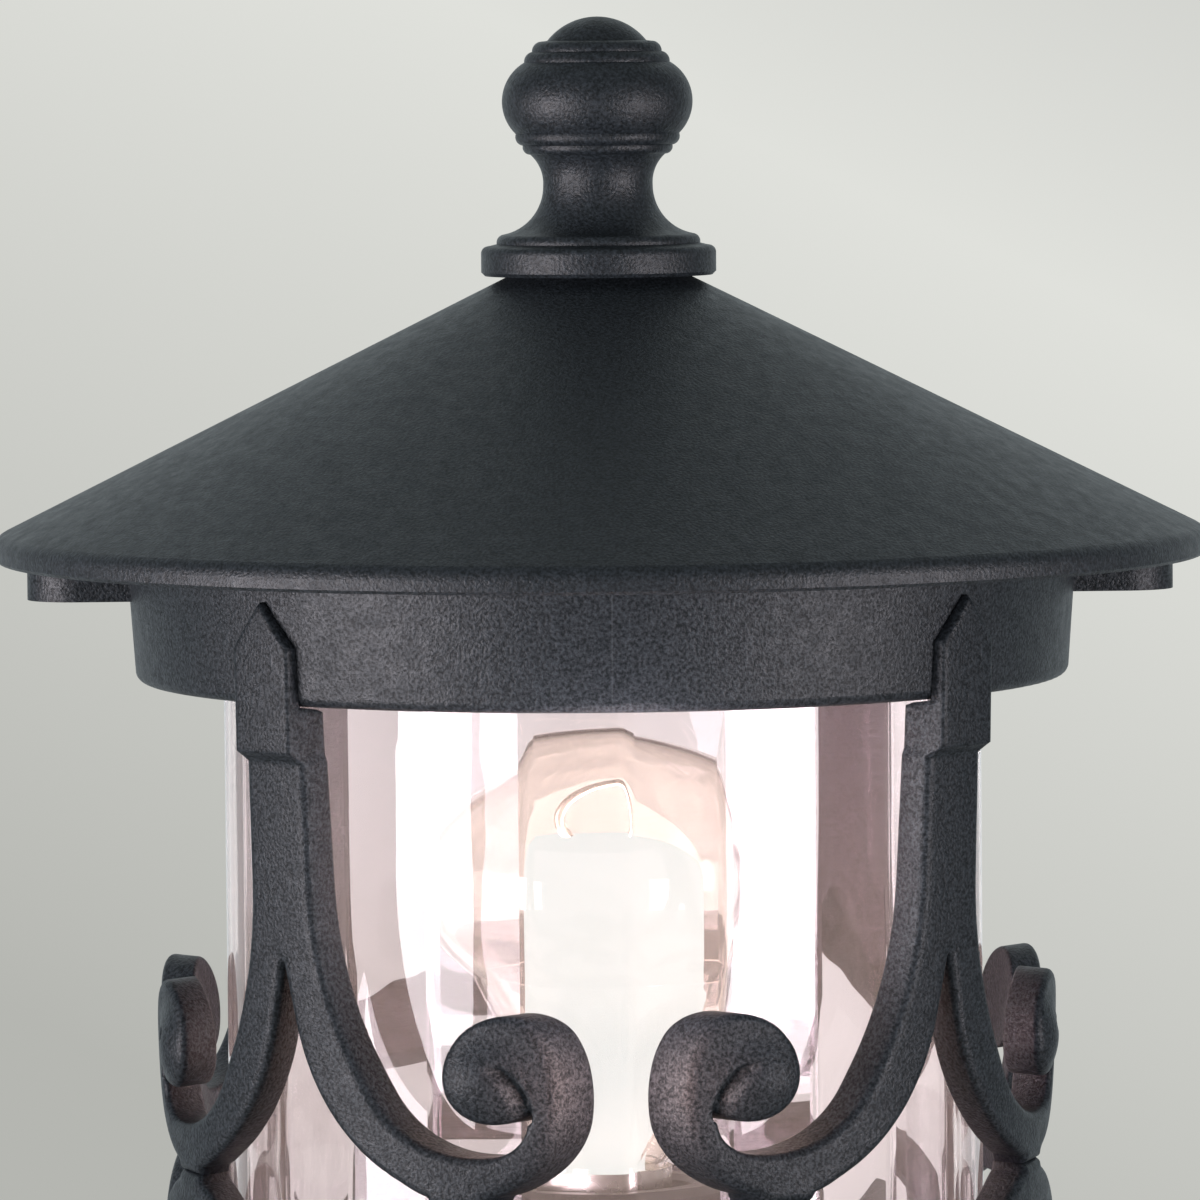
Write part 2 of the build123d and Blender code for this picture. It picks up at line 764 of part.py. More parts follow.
with BuildPart() as roof:
    with BuildSketch(Plane.XZ):
        with BuildLine():
            Polyline(
                (0, lug_top),
                (roof_radius - roof_lip, lug_top),
                (roof_radius - roof_lip, roof_rim_bottom),
                (roof_radius, roof_rim_bottom),
                (roof_radius, roof_rim_top),
                (roof_top_radius, roof_top),
                (0, roof_top),
                close=True,
            )
        make_face()
    revolve(axis=Axis.Z)
    rim_edges = roof.edges().filter_by(GeomType.CIRCLE).group_by(SortBy.RADIUS)[-1].sort_by(Axis.Z)
    fillet(rim_edges[-1:], 3.0)
    chamfer(rim_edges[:1], 0.6)
    add(roof_hollow.part, mode=Mode.SUBTRACT)
    for angle in lug_angles.values():
        with Locations((0, 0, lug_top)):
            with PolarLocations(lug_hole_circle, 1, start_angle=angle):
                Cylinder(
                    roof_screw_radius + 0.06,
                    boss_hole_top - lug_top,
                    align=(Align.CENTER, Align.CENTER, Align.MIN),
                    mode=Mode.SUBTRACT,
                )
    with Locations((0, 0, roof_top)):
        Hole(stud_radius + 0.3, depth=6)
save(roof.part, "roof")

# Finial: a turned knob on a disc, drawn as one half profile
def up(height):
    """Height on the finial, counted from the bottom edge of the top ring."""
    return band_bottom + height


crown_curve = 12.0

with BuildPart() as finial:
    with BuildSketch(Plane.XZ):
        with BuildLine():
            Polyline((0, roof_top), (21.6, roof_top), (22.3, up(76.7)), (22.3, up(80.2)))
            ThreePointArc((22.3, up(80.2)), (21.9, up(81.2)), (20.9, up(81.6)))
            Line((20.9, up(81.6)), (19.3, up(82)))
            ThreePointArc((19.3, up(82)), (19.1, up(83.1)), (18, up(83.8)))
            ThreePointArc((18, up(83.8)), (13.1, up(86.4)), (10.4, up(93)))
            ThreePointArc((10.4, up(93)), (10.9, up(96.2)), (12.8, up(98.9)))
            ThreePointArc((12.8, up(98.9)), (13.9, up(99.4)), (14.2, up(100.6)))
            ThreePointArc((14.2, up(100.6)), (15.3, up(101.3)), (15.5, up(102.8)))
            ThreePointArc((15.5, up(102.8)), (18.05, up(109.4)), (13.8, up(116.3)))
            ThreePointArc((13.8, up(116.3)), (13.4, up(117.6)), (12.3, up(118.3)))
            ThreePointArc((12.3, up(118.3)), (11.9, up(119.5)), (10.9, up(120.2)))
            crown = CenterArc((0, finial_top - crown_curve), crown_curve, 90, -51.5)
            Line((10.9, up(120.2)), crown @ 1)
            Line((0, finial_top), (0, roof_top))
        make_face()
    revolve(axis=Axis.Z)
    with Locations((0, 0, roof_top)):
        Cylinder(
            stud_radius + 0.05,
            14,
            align=(Align.CENTER, Align.CENTER, Align.MIN),
            mode=Mode.SUBTRACT,
        )
save(finial.part, "finial")

# Stud, washer and nut that hold the finial down on the roof
stud_bottom = roof_plate_under - 7.5

with BuildPart() as finial_stud:
    with BuildSketch(Plane.XY.offset(stud_bottom)):
        Circle(stud_radius)
    extrude(amount=roof_top + 13 - stud_bottom)
save(finial_stud.part, "finial_stud")

with BuildPart() as finial_washer:
    with BuildSketch(Plane.XY.offset(roof_plate_under)):
        Circle(8)
        Circle(stud_radius + 0.2, mode=Mode.SUBTRACT)
    extrude(amount=-1.4)
save(finial_washer.part, "finial_washer")

with BuildPart() as finial_nut:
    with BuildSketch(Plane.XY.offset(roof_plate_under - 1.4)):
        RegularPolygon(5, 6, major_radius=False)
        Circle(stud_radius + 0.03, mode=Mode.SUBTRACT)
    extrude(amount=-5)
save(finial_nut.part, "finial_nut")

# Countersunk roof screws, each in a cup washer, up through a lug into a roof boss
screw_length = 13.0
cup_drop = screw_head_radius - roof_screw_radius

for side_name, angle in lug_angles.items():
    out = heading(angle)
    screw_plane = Plane(origin=(lug_hole_circle * out[0], lug_hole_circle * out[1], lug_bottom))
    with BuildPart() as roof_screw:
        with BuildSketch(screw_plane):
            Circle(roof_screw_radius)
        extrude(amount=screw_length)
        with BuildSketch(screw_plane):
            Circle(screw_head_radius)
        with BuildSketch(screw_plane.offset(cup_drop)):
            Circle(roof_screw_radius)
        loft()
    save(roof_screw.part, f"roof_screw_{side_name}")
    with BuildPart() as screw_cup:
        with BuildSketch(screw_plane):
            Circle(screw_head_radius + cup_wall)
        with BuildSketch(screw_plane.offset(cup_drop)):
            Circle(roof_screw_radius + cup_wall)
        loft()
        with BuildSketch(screw_plane):
            Circle(screw_head_radius + 0.06)
        with BuildSketch(screw_plane.offset(cup_drop)):
            Circle(roof_screw_radius + 0.06)
        loft(mode=Mode.SUBTRACT)
    save(screw_cup.part, f"screw_cup_{side_name}")
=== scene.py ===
import math

import bmesh
import bpy
import numpy as np
from mathutils import Matrix, Vector
from mathutils.geometry import delaunay_2d_cdt


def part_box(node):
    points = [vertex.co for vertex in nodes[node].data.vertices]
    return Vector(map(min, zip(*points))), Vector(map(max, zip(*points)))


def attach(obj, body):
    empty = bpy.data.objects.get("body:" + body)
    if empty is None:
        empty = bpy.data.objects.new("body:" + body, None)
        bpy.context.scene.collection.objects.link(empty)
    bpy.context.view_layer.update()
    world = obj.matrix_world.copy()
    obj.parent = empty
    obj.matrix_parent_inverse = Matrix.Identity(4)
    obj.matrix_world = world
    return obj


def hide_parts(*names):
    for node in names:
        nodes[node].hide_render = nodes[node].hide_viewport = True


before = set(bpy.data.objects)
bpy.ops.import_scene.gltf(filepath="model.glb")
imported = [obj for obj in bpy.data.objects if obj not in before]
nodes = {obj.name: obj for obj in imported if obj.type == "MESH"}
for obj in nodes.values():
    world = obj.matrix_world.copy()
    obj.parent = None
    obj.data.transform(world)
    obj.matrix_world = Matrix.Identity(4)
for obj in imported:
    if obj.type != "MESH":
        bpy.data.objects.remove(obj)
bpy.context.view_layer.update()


# Base flange: a dished aluminium casting that stands on the pier, with four spot-faced
# fixing holes. It is shot-blasted and powder coated like every other casting here.
def linear(code):
    """An sRGB hex colour as linear RGBA."""
    parts = [int(code[i : i + 2], 16) / 255 for i in (1, 3, 5)]
    return tuple(c / 12.92 if c <= 0.04045 else ((c + 0.055) / 1.055) ** 2.4 for c in parts) + (1.0,)


def add(tree, kind, sockets=None, **settings):
    """Add one shader node: settings are its properties, sockets its values or the outputs to link."""
    new = tree.nodes.new(kind)
    for name, value in settings.items():
        setattr(new, name, value)
    for socket, value in (sockets or {}).items():
        if isinstance(value, bpy.types.NodeSocket):
            tree.links.new(value, new.inputs[socket])
        else:
            new.inputs[socket].default_value = value
    return new


def start_material(name):
    """A new material with only its output, and the tree to fill."""
    material = bpy.data.materials.new(name)
    material.use_nodes = True
    material.node_tree.nodes.clear()
    return material, material.node_tree


def dress(material, *names):
    """Give CAD nodes their finish."""
    for name in names:
        for slot in nodes[name].material_slots:
            slot.material = material


def coat_casting(name, grain_relief, gloss, sparkle, parting=None):
    """Charcoal powder coat over blasted aluminium: matt, a shade blue, with a fine sandy grain that
    breaks the highlights into specks, deeper and brighter where the casting's own skin is rough. The
    relief is in millimetres. A parting line is given as the direction across it and its place in
    millimetres along that."""
    material, tree = start_material(name)
    grit_mm = 0.6
    flow_mm = 3.2
    flash_mm = 0.16
    place = add(tree, "ShaderNodeTexCoord")
    grit = add(
        tree,
        "ShaderNodeTexNoise",
        {"Vector": place.outputs["Object"], "Scale": 1000 / grit_mm, "Detail": 2.0, "Roughness": 0.6},
    )
    flow = add(
        tree,
        "ShaderNodeTexNoise",
        {"Vector": place.outputs["Object"], "Scale": 1000 / flow_mm, "Detail": 3.0},
    )
    speck = add(tree, "ShaderNodeValToRGB", {"Fac": grit.outputs["Fac"]})
    speck.color_ramp.elements[0].position = 0.36
    speck.color_ramp.elements[0].color = linear("#12171a")
    speck.color_ramp.elements[1].position = 0.72
    speck.color_ramp.elements[1].color = linear("#333a40")
    matt = add(
        tree,
        "ShaderNodeMapRange",
        {"Value": flow.outputs["Fac"], "From Min": 0.3, "From Max": 0.7, "To Min": 0.42, "To Max": 0.54},
    )
    peel = add(
        tree,
        "ShaderNodeBump",
        {"Height": grit.outputs["Fac"], "Strength": 0.8, "Distance": grain_relief / 1000},
    )
    glint = add(
        tree,
        "ShaderNodeMapRange",
        {
            "Value": grit.outputs["Fac"],
            "From Min": 0.35,
            "From Max": 0.65,
            "To Min": gloss - sparkle,
            "To Max": gloss + sparkle,
        },
    )
    sheen = glint.outputs["Result"]
    if parting:
        across = add(
            tree,
            "ShaderNodeVectorMath",
            {0: place.outputs["Object"], 1: parting[0]},
            operation="DOT_PRODUCT",
        )
        flash = add(
            tree,
            "ShaderNodeMath",
            {0: across.outputs["Value"], 1: parting[1] / 1000, 2: flash_mm / 1000},
            operation="COMPARE",
        )
        brighter = add(
            tree,
            "ShaderNodeMath",
            {0: flash.outputs["Value"], 1: 0.3, 2: sheen},
            operation="MULTIPLY_ADD",
        )
        sheen = brighter.outputs["Value"]
    coat = add(
        tree,
        "ShaderNodeBsdfPrincipled",
        {
            "Base Color": speck.outputs["Color"],
            "Roughness": matt.outputs["Result"],
            "Normal": peel.outputs["Normal"],
            "Specular IOR Level": sheen,
            "IOR": 1.5,
        },
    )
    add(tree, "ShaderNodeOutputMaterial", {"Surface": coat.outputs["BSDF"]})
    return material


powder_coat = coat_casting("charcoal_powder_coat", grain_relief=0.22, gloss=0.5, sparkle=0.05)
dress(powder_coat, "base")

# Stem and tray: a turned column and a shallow dish, both cast in aluminium and bored for the tube
# that clamps them between the base and the lampholder's post.
dress(powder_coat, "stem", "tray")

# Threaded tube: a zinc-plated steel tube through base, stem and tray, drawn tight by a hexagon nut
# and a broad washer at each end. The lamp's lead runs inside it.
# Zinc plate on cold-drawn steel: a pale metal with a faint straw cast and a cloudy shine.
zinc_plate, tree = start_material("zinc_plated_steel")
cloud_mm = 2.5
place = add(tree, "ShaderNodeTexCoord")
cloud = add(
    tree,
    "ShaderNodeTexNoise",
    {"Vector": place.outputs["Object"], "Scale": 1000 / cloud_mm, "Detail": 4.0},
)
straw = add(tree, "ShaderNodeValToRGB", {"Fac": cloud.outputs["Fac"]})
straw.color_ramp.elements[0].position = 0.35
straw.color_ramp.elements[0].color = linear("#a9a595")
straw.color_ramp.elements[1].position = 0.7
straw.color_ramp.elements[1].color = linear("#c9c7bd")
shine = add(
    tree,
    "ShaderNodeMapRange",
    {"Value": cloud.outputs["Fac"], "From Min": 0.3, "From Max": 0.7, "To Min": 0.28, "To Max": 0.46},
)
body = add(
    tree,
    "ShaderNodeBsdfPrincipled",
    {"Base Color": straw.outputs["Color"], "Metallic": 1.0, "Roughness": shine.outputs["Result"]},
)
add(tree, "ShaderNodeOutputMaterial", {"Surface": body.outputs["BSDF"]})
dress(zinc_plate, "threaded_tube", "base_nut", "base_washer", "tray_nut", "tray_washer")

# Terminal block: a small moulded strip in the base's hollow with six zinc-plated screws, and the
# brass earth screw beside it.
# Natural nylon: a milky off-white with a soft sheen and faint flow marks from the mould.
nylon, tree = start_material("moulded_nylon")
flow_mark_mm = 4.0
place = add(tree, "ShaderNodeTexCoord")
marks = add(
    tree,
    "ShaderNodeTexNoise",
    {"Vector": place.outputs["Object"], "Scale": 1000 / flow_mark_mm, "Detail": 3.0},
)
milk = add(tree, "ShaderNodeValToRGB", {"Fac": marks.outputs["Fac"]})
milk.color_ramp.elements[0].color = linear("#cfccbf")
milk.color_ramp.elements[1].color = linear("#e6e3d8")
body = add(
    tree,
    "ShaderNodeBsdfPrincipled",
    {
        "Base Color": milk.outputs["Color"],
        "Roughness": 0.42,
        "IOR": 1.53,
        "Subsurface Weight": 0.15,
        "Subsurface Radius": (0.001, 0.0008, 0.0006),
    },
)
add(tree, "ShaderNodeOutputMaterial", {"Surface": body.outputs["BSDF"]})
dress(nylon, "terminal_block")
dress(zinc_plate, "terminal_screws")

# Drawn brass: warm yellow metal, a little duller in patches where it has been handled.
brass, tree = start_material("drawn_brass")
dull_mm = 3.0
place = add(tree, "ShaderNodeTexCoord")
patches = add(
    tree,
    "ShaderNodeTexNoise",
    {"Vector": place.outputs["Object"], "Scale": 1000 / dull_mm, "Detail": 3.0},
)
yellow = add(tree, "ShaderNodeValToRGB", {"Fac": patches.outputs["Fac"]})
yellow.color_ramp.elements[0].color = linear("#a87d3c")
yellow.color_ramp.elements[1].color = linear("#d0a861")
rub = add(
    tree, "ShaderNodeMapRange", {"Value": patches.outputs["Fac"], "To Min": 0.42, "To Max": 0.22}
)
body = add(
    tree,
    "ShaderNodeBsdfPrincipled",
    {"Base Color": yellow.outputs["Color"], "Metallic": 1.0, "Roughness": rub.outputs["Result"]},
)
add(tree, "ShaderNodeOutputMaterial", {"Surface": body.outputs["BSDF"]})
dress(brass, "earth_screw")

# Lamp lead: a heat-resistant flex that runs from the terminal block up the tube to the lampholder
# and brings the lamp its supply.
# Braided glass sleeve: matt off-white with a fine diagonal weave.
sleeve, tree = start_material("braided_glass_sleeve")
strand_mm = 0.9
place = add(tree, "ShaderNodeTexCoord")
strands = [
    add(
        tree,
        "ShaderNodeTexWave",
        {"Vector": turned.outputs["Vector"], "Scale": 1000 / strand_mm / 20},
    )
    for turned in (
        add(
            tree,
            "ShaderNodeMapping",
            {"Vector": place.outputs["Object"], "Rotation": (0.0, math.radians(lay), math.radians(lay))},
        )
        for lay in (-45, 45)
    )
]
weave = add(
    tree,
    "ShaderNodeMath",
    {0: strands[0].outputs["Fac"], 1: strands[1].outputs["Fac"]},
    operation="MAXIMUM",
)
thread = add(tree, "ShaderNodeValToRGB", {"Fac": weave.outputs["Value"]})
thread.color_ramp.elements[0].color = linear("#a9a69c")
thread.color_ramp.elements[1].color = linear("#dedbd1")
weave_relief = add(
    tree, "ShaderNodeBump", {"Height": weave.outputs["Value"], "Strength": 0.5, "Distance": 0.0002}
)
body = add(
    tree,
    "ShaderNodeBsdfPrincipled",
    {
        "Base Color": thread.outputs["Color"],
        "Roughness": 0.75,
        "Normal": weave_relief.outputs["Normal"],
    },
)
add(tree, "ShaderNodeOutputMaterial", {"Surface": body.outputs["BSDF"]})
dress(sleeve, "lamp_lead")

# Rings: drafted bands cast with a flange and a rib for the glass; the top one has two lugs for the
# roof. Each shows the faint line where the two halves of its mould met. Four screws from below hold
# the tray in the bottom one.
mould_across = (math.sqrt(0.5), math.sqrt(0.5), 0.0)
mould_joint_mm = -1.3
parted_coat = coat_casting(
    "charcoal_powder_coat_on_parted_casting",
    grain_relief=0.24,
    gloss=0.46,
    sparkle=0.15,
    parting=(mould_across, mould_joint_mm),
)
dress(parted_coat, "bottom_ring", "top_ring")

# Turned stainless steel: grey metal with fine tool marks that spread the highlight.
stainless, tree = start_material("turned_stainless_steel")
tool_mark_mm = 0.4
place = add(tree, "ShaderNodeTexCoord")
tooling = add(
    tree,
    "ShaderNodeTexNoise",
    {"Vector": place.outputs["Object"], "Scale": 1000 / tool_mark_mm, "Detail": 2.0},
)
steel_grey = add(tree, "ShaderNodeValToRGB", {"Fac": tooling.outputs["Fac"]})
steel_grey.color_ramp.elements[0].color = linear("#a3a3a1")
steel_grey.color_ramp.elements[1].color = linear("#cfcfcc")
grind = add(
    tree, "ShaderNodeMapRange", {"Value": tooling.outputs["Fac"], "To Min": 0.24, "To Max": 0.44}
)
body = add(
    tree,
    "ShaderNodeBsdfPrincipled",
    {"Base Color": steel_grey.outputs["Color"], "Metallic": 1.0, "Roughness": grind.outputs["Result"]},
)
add(tree, "ShaderNodeOutputMaterial", {"Surface": body.outputs["BSDF"]})
dress(stainless, "tray_screws")

# Straps: eight sand-cast scrolls, each with a pointed tongue on a ring, a stem that forks into two
# arms, and a domed eye at the end of each. They are fettled soft at every edge, powder coated,
# and screwed to the rings from inside; upper and lower ones meet on small flat lands.
# Sizes in millimetres; places on a strap are across from its middle and up from the ring's lower edge.
ring_edge, lands_height = 305.0, 215.0
outline_step = 0.6
soft_edge, tongue_edge, back_edge = 1.7, 1.0, 0.8
fork_height, tip_height = -47.2, 19.0
tongue_half, tongue_foot, tongue_shoulder = 7.0, -9.0, 10.7
land_left, land_right, land_reach, land_foot = 29.3, 39.3, -85.0, -90.0
eye_place, eye_rise, eye_radius, eye_patch = (40.2, -67.4), 2.6, 9.5, 10.0
crease_depth = 2.6
step_foot, step_run = -9.9, 1.3
stem_top, stem_face, stem_lean = -9.6, 88.3, 3.2
tongue_base, tongue_face, tongue_draft = -8.6, 91.3, 0.8 / 37.6
back_face, back_draft = 82.0, 1 / 18
seat_run, seat_face, seat_draft = 0.9, 88.53, 2 / 29
boss_height, boss_radius, boss_reach, boss_sides = 314.0, 3.5, (84.6, 89.2), 12


def walk(place, heading, moves):
    """Points along a run of lines, as (length, 0), and left-hand arcs, as (radius, degrees)."""
    points = [place]
    for size, angle in moves:
        bend = math.radians(angle)
        count = max(1, round((size * bend if angle else size) / outline_step))
        chord = 2 * size * math.sin(bend / count / 2) if angle else size / count
        for _ in range(count):
            heading += angle / count / 2
            way = math.radians(heading)
            place = (place[0] + chord * math.cos(way), place[1] + chord * math.sin(way))
            heading += angle / count / 2
            points.append(place)
    return points


def nearest(points, path):
    """How far each point is from a path of straight steps."""
    starts, steps = path[:-1], path[1:] - path[:-1]
    reach = points[:, None, :] - starts
    share = np.clip((reach * steps).sum(2) / (steps * steps).sum(1), 0, 1)
    return np.linalg.norm(reach - share[:, :, None] * steps, axis=2).min(1)


def ease(value):
    """A soft step from 0 to 1."""
    value = np.clip(value, 0, 1)
    return value * value * (3 - 2 * value)


def round_over(gap, radius):
    """How far a face falls away at a rounded edge, by the distance from that edge."""
    inside = np.clip(radius - gap, 0, radius)
    return radius - np.sqrt(radius * radius - inside * inside)


def staggered(corner, across, down, columns, rows):
    """A net of points, down and to the right of a corner, with every other row moved half a step."""
    steps = [(p + q % 2 / 2, q) for p in range(columns) for q in range(rows)]
    return np.array([(corner[0] + p * across, corner[1] - q * down) for p, q in steps])


# One half of the outline, from the fork round the scroll and back up to the tongue's tip. The scroll's
# lowest stretch is cut flat for the land.
scroll = walk(
    (0.0, fork_height),
    -77.15,
    [(11.69, 0), (41, 47.6), (4, 0), (17.4, 112), (37, 15.5), (19.7, 15.3), (7.1, 75.3), (11.2, 96.5)]
    + [(7.9, 60.3), (7.6, 58.2)],
)
on_land = [land_left < p < land_right and q < land_reach for p, q in scroll]
scroll = [(p, land_foot if cut else q) for (p, q), cut in zip(scroll, on_land)]
arm = walk((7.5, -10.2), -89.27, [(22.8, 0), (69, 28.4), (5, 0), (21.3, 69.4), (6.9, 88.8)])
tongue = walk((tongue_half, tongue_foot), 90, [(tongue_shoulder - tongue_foot, 0)])
tongue += walk((tongue_half, tongue_shoulder), 130.14, [(10.2, 0)]) + [(0.0, tip_height)]
outline = np.array(scroll + arm[::-1] + tongue)
middle = np.array([(0.0, tip_height - (tip_height - fork_height) * k / 66) for k in range(1, 66)])
crease = np.array(walk((46.6, -73.4), 88, [(12.5, 33), (4, 50)]))

# Points for the face: rows along the edge where it rounds over, and a finer net on the eye.
along = np.roll(outline, -1, 0) - np.roll(outline, 1, 0)
inward = np.stack([-along[:, 1], along[:, 0]], 1) / np.linalg.norm(along, axis=1)[:, None]
gaps = [soft_edge * share for share in (0.06, 0.2, 0.42, 0.7, 1)]
rows = [(outline + inward * gap, gap) for gap in gaps]
inner = [points[nearest(points, outline) > gap * 0.96] for points, gap in rows]
net = staggered((0.0, tip_height), 1.1, 0.95, 48, 115)
fine = staggered((32.0, -56.0), 0.5, 0.45, 40, 52)
near_eye = np.hypot(*(net - eye_place).T) < eye_patch
fine = fine[np.hypot(*(fine - eye_place).T) < eye_patch]
inner += [points[nearest(points, outline) > soft_edge + 0.3] for points in (net[~near_eye], fine)]
inner = np.concatenate(inner)
inner = inner[inner[:, 0] > 0.3]
border = [Vector(point) for point in outline] + [Vector(point) for point in middle]
spots, _, panels, *_ = delaunay_2d_cdt(
    border + [Vector(point) for point in inner], [], [list(range(len(border)))], 1, 1e-5
)
flat = np.array(spots)
across, height = flat[:, 0], flat[:, 1]

# The face leans in towards the lands and steps out at the tongue; the back follows it and seats
# on the ring.
lift = ease((height - step_foot) / step_run)
stem_radius = stem_face - stem_lean * np.clip((stem_top - height) / (stem_top - land_foot), 0, 1)
tongue_radius = tongue_face + tongue_draft * (height - tongue_base)
face_radius = stem_radius + (tongue_radius - stem_radius) * lift
edge_gap = nearest(flat, outline)
dome = eye_rise * np.clip(1 - (np.hypot(*(flat - eye_place).T) / eye_radius) ** 2, 0, 1) ** 2
groove = crease_depth * (1 - ease((nearest(flat, crease) - 0.2) / 1.3)) * ease((across - 41.2) / 3)
front = np.sqrt(face_radius**2 - across**2) + dome - groove
front -= round_over(edge_gap, soft_edge + (tongue_edge - soft_edge) * lift)
seat = np.clip(height / seat_run + 1, 0, 1)
back_radius = back_face + back_draft * np.minimum(height, 0)
back_radius += (seat_face + seat_draft * height - back_radius) * seat
rear = np.sqrt(back_radius**2 - across**2) + round_over(edge_gap, back_edge * (1 - seat) + 0.01)

count = len(flat)
rim = {(a, b) for face in panels for a, b in zip(face, face[1:] + face[:1])}
rim = [(a, b) for a, b in rim if (b, a) not in rim and max(across[a], across[b]) > 0.01]
faces = [tuple(face) for face in panels] + [tuple(v + count for v in face[::-1]) for face in panels]
faces += [(a, a + count, b + count, b) for a, b in rim]
points = [(x, p, ring_edge + q) for x, (p, q) in zip(front, flat)]
points += [(x, p, ring_edge + q) for x, (p, q) in zip(rear, flat)]

# Half of the boss that the strap's screw runs into, behind the tongue.
turns = [math.radians(-90 + 180 * k / boss_sides) for k in range(boss_sides + 1)]
first, row = len(points), len(turns)
points += [
    (x, boss_radius * math.cos(turn), boss_height + boss_radius * math.sin(turn))
    for x in boss_reach
    for turn in turns
]
faces += [(k, k + row, k + row + 1, k + 1) for k in range(first, first + boss_sides)]
faces.append(tuple(range(first + boss_sides, first - 1, -1)))

sand_cast_coat = coat_casting(
    "charcoal_powder_coat_on_sand_casting", grain_relief=0.24, gloss=0.37, sparkle=0.11
)
strap_turns = {"front_right": 0, "rear_right": 90, "rear_left": 180, "front_left": 270}
for half in ("upper", "lower"):
    mesh = bpy.data.meshes.new(f"{half}_strap_casting")
    flip = half == "lower"
    places = [(x, p, 2 * lands_height - z if flip else z) for x, p, z in points]
    mesh.from_pydata(
        [(x / 1000, p / 1000, z / 1000) for x, p, z in places],
        [],
        [face[::-1] for face in faces] if flip else faces,
    )
    mesh.shade_smooth()
    mesh.materials.append(sand_cast_coat)
    for corner, turn in strap_turns.items():
        strap = bpy.data.objects.new(f"{half}_strap_{corner}_casting", mesh)
        bpy.context.scene.collection.objects.link(strap)
        strap.rotation_euler.z = math.radians(turn)
        other_half = strap.modifiers.new("other_half", "MIRROR")
        other_half.use_axis = (False, True, False)
        other_half.merge_threshold = 0.00002
        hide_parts(f"{half}_strap_{corner}")
        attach(strap, "lantern")

# Strap screws and dowels: stainless pan heads inside the rings, and plain pins pressed into the lands
# to keep upper and lower straps in line.
dress(stainless, "upper_strap_screws", "lower_strap_screws", "strap_dowels")

# Gaskets: flat rings cut from sheet rubber, one under the glass and one over it, pinched between the
# glass and the rings.
# Black rubber: matt, with a faint grey bloom.
rubber, tree = start_material("black_gasket_rubber")
bloom_mm = 1.5
place = add(tree, "ShaderNodeTexCoord")
bloom = add(tree, "ShaderNodeTexNoise", {"Vector": place.outputs["Object"], "Scale": 1000 / bloom_mm})
tone = add(tree, "ShaderNodeValToRGB", {"Fac": bloom.outputs["Fac"]})
tone.color_ramp.elements[0].color = linear("#101112")
tone.color_ramp.elements[1].color = linear("#1f2022")
body = add(
    tree, "ShaderNodeBsdfPrincipled", {"Base Color": tone.outputs["Color"], "Roughness": 0.8}
)
add(tree, "ShaderNodeOutputMaterial", {"Surface": body.outputs["BSDF"]})
dress(rubber, "top_gasket", "bottom_gasket")


# Glass: a clear pressed cylinder, round outside and with twenty-four flat upright panels inside, so
# that the lamp behind it breaks at each panel's edge. It stands loose between the gaskets.
def let_light_through(tree, surface, tint):
    """Finish a glass: its own surface for sight, plain tinted passage for the lamp's light."""
    path = add(tree, "ShaderNodeLightPath")
    open_way = add(tree, "ShaderNodeBsdfTransparent", {"Color": linear(tint)})
    either = add(
        tree,
        "ShaderNodeMixShader",
        {0: path.outputs["Is Shadow Ray"], 1: surface, 2: open_way.outputs["BSDF"]},
    )
    add(tree, "ShaderNodeOutputMaterial", {"Surface": either.outputs["Shader"]})


# Pressed glass: faintly mauve, a little uneven, with a thin haze that takes up the lamp's light.
pressed_glass, tree = start_material("mauve_pressed_glass")
ripple_mm = 18.0
place = add(tree, "ShaderNodeTexCoord")
ripple = add(
    tree,
    "ShaderNodeTexNoise",
    {"Vector": place.outputs["Object"], "Scale": 1000 / ripple_mm, "Detail": 1.0},
)
wave = add(
    tree, "ShaderNodeBump", {"Height": ripple.outputs["Fac"], "Strength": 0.2, "Distance": 0.0006}
)
clear = add(
    tree,
    "ShaderNodeBsdfPrincipled",
    {
        "Base Color": linear("#f8f1f5"),
        "Roughness": 0.0,
        "IOR": 1.47,
        "Transmission Weight": 1.0,
        "Normal": wave.outputs["Normal"],
    },
)
veil = add(tree, "ShaderNodeBsdfTranslucent", {"Color": linear("#fffafa")})
hazy = add(
    tree, "ShaderNodeMixShader", {0: 0.032, 1: clear.outputs["BSDF"], 2: veil.outputs["BSDF"]}
)
let_light_through(tree, hazy.outputs["Shader"], "#f4eaef")
dress(pressed_glass, "glass_cylinder")

# Lamp post and lampholder: a cast post on the tube carries a two-part moulded holder with a brass
# screw shell, a sprung brass contact and a porcelain insert between them.
dress(powder_coat, "lamp_post")

# Black phenolic moulding: deep brown-black with a dull gloss and a very fine mottle.
phenolic, tree = start_material("black_phenolic_moulding")
mottle_mm = 1.2
place = add(tree, "ShaderNodeTexCoord")
mottle = add(
    tree,
    "ShaderNodeTexNoise",
    {"Vector": place.outputs["Object"], "Scale": 1000 / mottle_mm, "Detail": 3.0},
)
deep = add(tree, "ShaderNodeValToRGB", {"Fac": mottle.outputs["Fac"]})
deep.color_ramp.elements[0].color = linear("#0e0d0c")
deep.color_ramp.elements[1].color = linear("#201d1b")
gloss = add(
    tree, "ShaderNodeMapRange", {"Value": mottle.outputs["Fac"], "To Min": 0.28, "To Max": 0.42}
)
body = add(
    tree,
    "ShaderNodeBsdfPrincipled",
    {"Base Color": deep.outputs["Color"], "Roughness": gloss.outputs["Result"], "IOR": 1.6},
)
add(tree, "ShaderNodeOutputMaterial", {"Surface": body.outputs["BSDF"]})
dress(phenolic, "holder_base", "holder_body")

